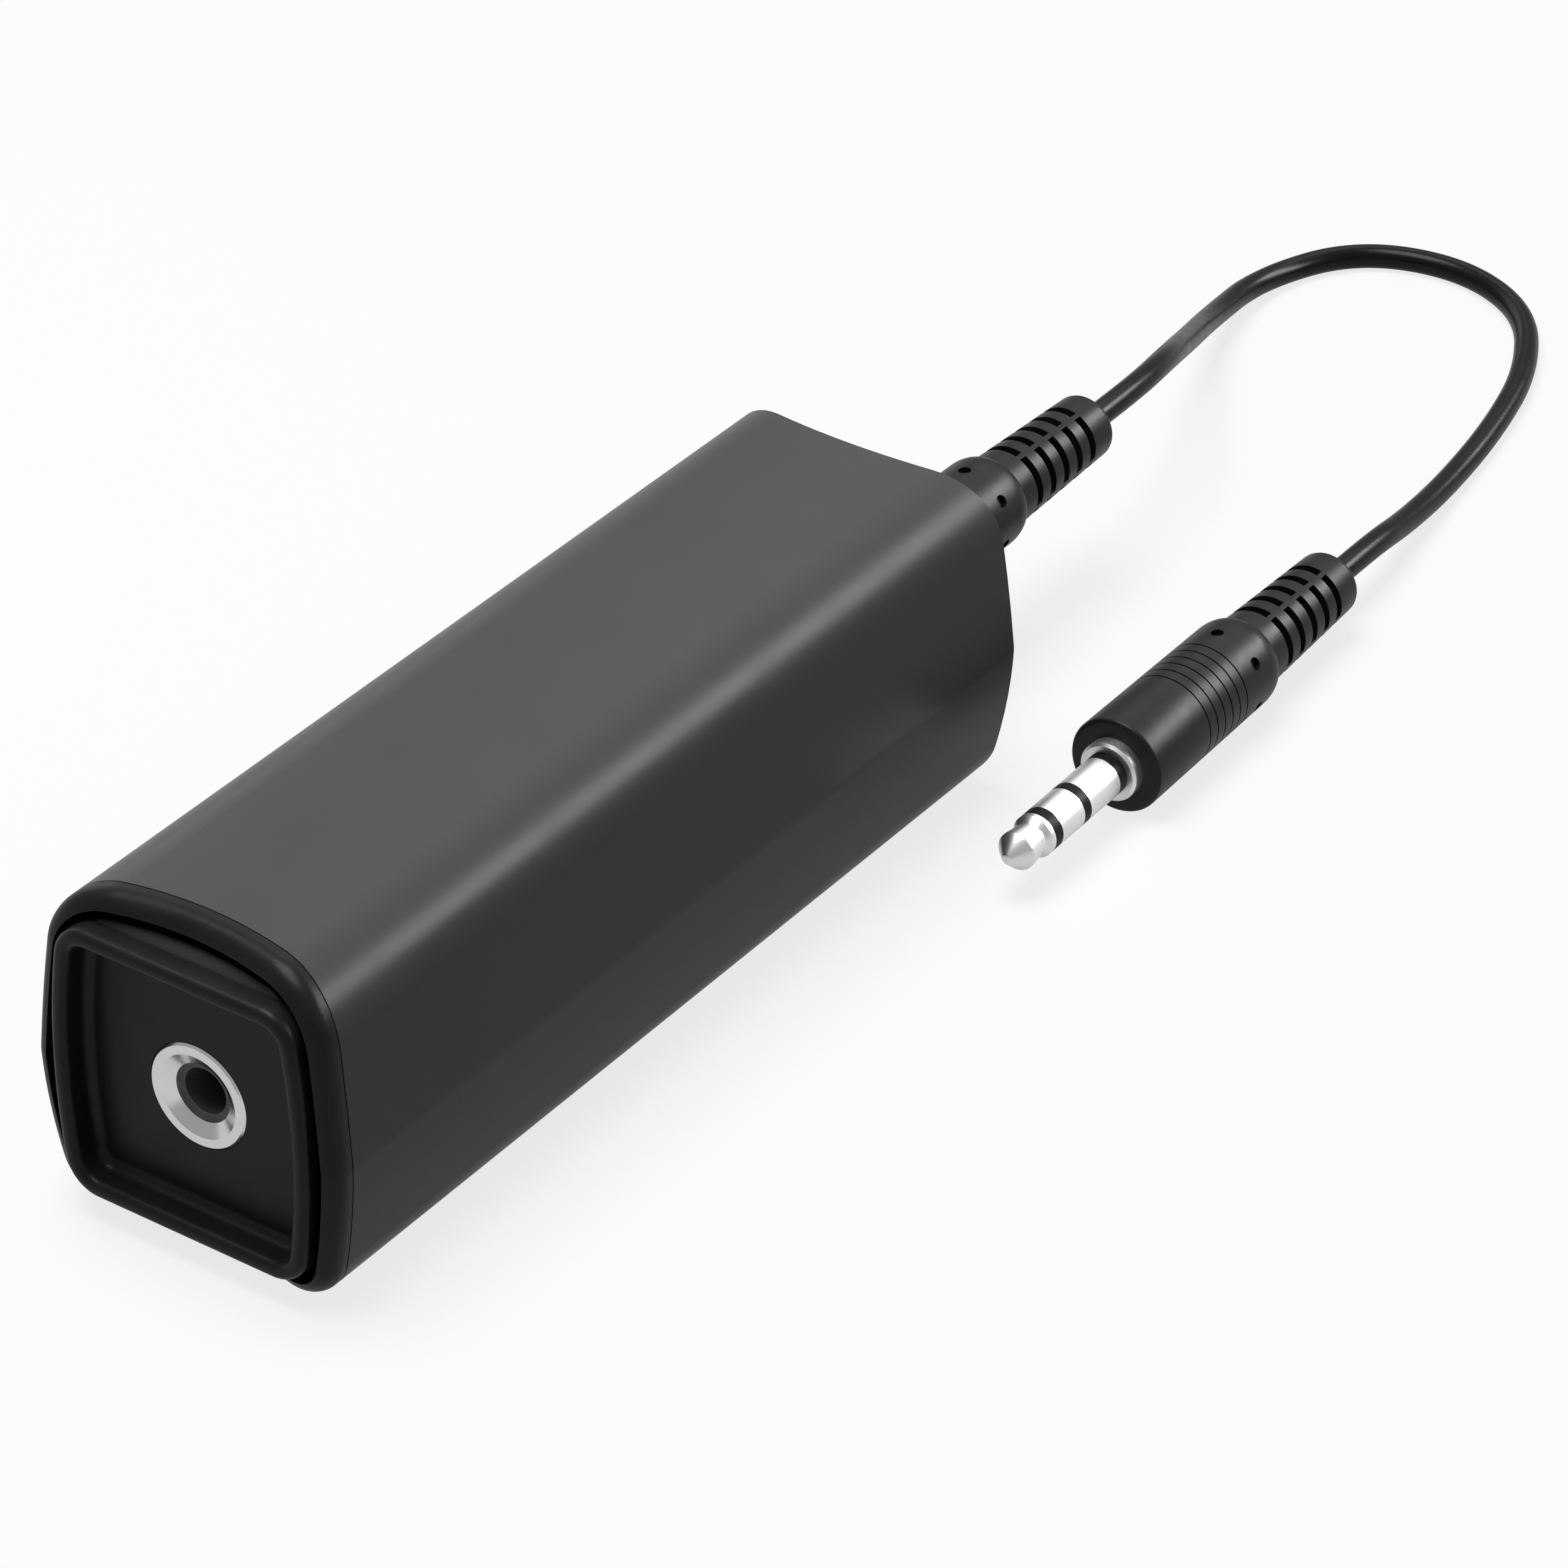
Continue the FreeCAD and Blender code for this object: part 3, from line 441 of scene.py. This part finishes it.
class Surface:
    """A Principled material, with noise in its colour, its roughness and its bump."""

    def __init__(self, name, colour, metallic, specular):
        self.material = bpy.data.materials.new(name)
        self.material.use_nodes = True
        self.tree = self.material.node_tree
        self.shader = self.tree.nodes["Principled BSDF"]
        self.shader.inputs["Base Color"].default_value = (*colour, 1.0)
        self.shader.inputs["Metallic"].default_value = metallic
        self.shader.inputs["Specular IOR Level"].default_value = specular
        self.colour = colour
        self.place = self.tree.nodes.new("ShaderNodeTexCoord").outputs["Object"]
        self.normal = None

    def noise(self, size, detail, squeeze=None):
        """Noise whose lumps are about a given size across, in millimetres."""
        node = self.tree.nodes.new("ShaderNodeTexNoise")
        node.inputs["Scale"].default_value = 1.0 / (size * MM)
        node.inputs["Detail"].default_value = detail
        source = self.place
        if squeeze:
            mapping = self.tree.nodes.new("ShaderNodeMapping")
            mapping.inputs["Scale"].default_value = squeeze
            self.tree.links.new(source, mapping.inputs["Vector"])
            source = mapping.outputs["Vector"]
        self.tree.links.new(source, node.inputs["Vector"])
        return node.outputs["Fac"]

    def ranged(self, noise, low, high):
        """Noise stretched from its usual spread, 0.3 to 0.7, to a range of values."""
        node = self.tree.nodes.new("ShaderNodeMapRange")
        node.inputs["From Min"].default_value = 0.3
        node.inputs["From Max"].default_value = 0.7
        node.inputs["To Min"].default_value = low
        node.inputs["To Max"].default_value = high
        self.tree.links.new(noise, node.inputs["Value"])
        return node.outputs["Result"]

    def mottle(self, size, spread):
        """Slight light and dark patches in the colour."""
        mix = self.tree.nodes.new("ShaderNodeMix")
        mix.data_type = "RGBA"
        mix.inputs["A"].default_value = (*[c * (1 - spread) for c in self.colour], 1.0)
        mix.inputs["B"].default_value = (*[min(1.0, c * (1 + spread)) for c in self.colour], 1.0)
        factor = self.ranged(self.noise(size, detail=4.0), 0.0, 1.0)
        self.tree.links.new(factor, mix.inputs["Factor"])
        self.tree.links.new(mix.outputs["Result"], self.shader.inputs["Base Color"])

    def roughness(self, size, low, high, squeeze=None):
        value = self.ranged(self.noise(size, detail=5.0, squeeze=squeeze), low, high)
        self.shader.inputs["Roughness"].default_value = (low + high) / 2
        self.tree.links.new(value, self.shader.inputs["Roughness"])

    def bump(self, size, depth, squeeze=None):
        """Bump of a depth in millimetres, on top of any bump before it."""
        node = self.tree.nodes.new("ShaderNodeBump")
        node.inputs["Distance"].default_value = depth * MM
        node.inputs["Strength"].default_value = 1.0
        self.tree.links.new(self.noise(size, detail=3.0, squeeze=squeeze), node.inputs["Height"])
        if self.normal:
            self.tree.links.new(self.normal, node.inputs["Normal"])
        self.normal = node.outputs["Normal"]
        self.tree.links.new(self.normal, self.shader.inputs["Normal"])


def make_material(name, colour, mottle, roughness, bumps, metallic=0.0, specular=0.5):
    surface = Surface(name, colour, metallic, specular)
    surface.mottle(*mottle)
    surface.roughness(*roughness)
    for bump in bumps:
        surface.bump(*bump)
    return surface.material


def paint_nodes(materials):
    for name, slot in SLOT_OF.items():
        node = nodes[name]
        node.data.materials.clear()
        node.data.materials.append(materials[slot])


def seen_strength(tree, lighting, seen, reflected):
    """Strength for rays that light the object, rays from the camera, and reflected ones."""
    rays = tree.nodes.new("ShaderNodeLightPath")
    shares = {"Is Camera Ray": seen, "Is Glossy Ray": reflected, "Is Transmission Ray": reflected}
    total = None
    for name, share in shares.items():
        add = tree.nodes.new("ShaderNodeMath")
        add.operation = "MULTIPLY_ADD"
        add.inputs[1].default_value = share - lighting
        add.inputs[2].default_value = lighting
        tree.links.new(rays.outputs[name], add.inputs[0])
        if total:
            tree.links.new(total, add.inputs[2])
        total = add.outputs["Value"]
    return total


def make_floor():
    """Plain floor that throws back little light, but is near white where it is seen."""
    mesh = bpy.data.meshes.new("floor")
    corners = [(x * FLOOR_HALF_SIDE, y * FLOOR_HALF_SIDE, 0)
               for x, y in ((-1, -1), (1, -1), (1, 1), (-1, 1))]
    mesh.from_pydata(corners, [], [(0, 1, 2, 3)])
    material = bpy.data.materials.new("pale floor")
    material.use_nodes = True
    tree = material.node_tree
    shader = tree.nodes["Principled BSDF"]
    shader.inputs["Base Color"].default_value = (FLOOR_COLOUR, FLOOR_COLOUR, FLOOR_COLOUR, 1.0)
    shader.inputs["Roughness"].default_value = FLOOR_ROUGHNESS
    shader.inputs["Specular IOR Level"].default_value = FLOOR_SPECULAR
    shader.inputs["Emission Color"].default_value = (1.0, 1.0, 1.0, 1.0)
    glow = seen_strength(tree, 0.0, FLOOR_GLOW, FLOOR_GLOW_REFLECTED)
    tree.links.new(glow, shader.inputs["Emission Strength"])
    mesh.materials.append(material)
    add_object("floor", mesh)


def make_world():
    world = bpy.data.worlds.new("studio")
    scene.world = world
    world.use_nodes = True
    tree = world.node_tree
    background = tree.nodes["Background"]
    background.inputs["Color"].default_value = (1.0, 1.0, 1.0, 1.0)
    strength = seen_strength(tree, WORLD_LIGHT, WORLD_SEEN, WORLD_SEEN)
    tree.links.new(strength, background.inputs["Strength"])


def make_lights():
    for name, (place, sides, power, diffuse) in LIGHTS.items():
        data = bpy.data.lights.new(name, "AREA")
        data.shape = "RECTANGLE"
        data.size, data.size_y = sides
        data.energy = power
        light = add_object(name, data)
        light.location = place
        towards = LIGHT_TARGET - Vector(place)
        light.rotation_euler = towards.to_track_quat("-Z", "Y").to_euler()
        light.visible_diffuse = diffuse


scene.view_settings.view_transform = "Standard"
make_camera()
materials = {slot: make_material(**values) for slot, values in SURFACES.items()}
make_plug_pieces(materials)
make_cord(materials["cord_pvc"])
paint_nodes(materials)
make_floor()
make_world()
make_lights()
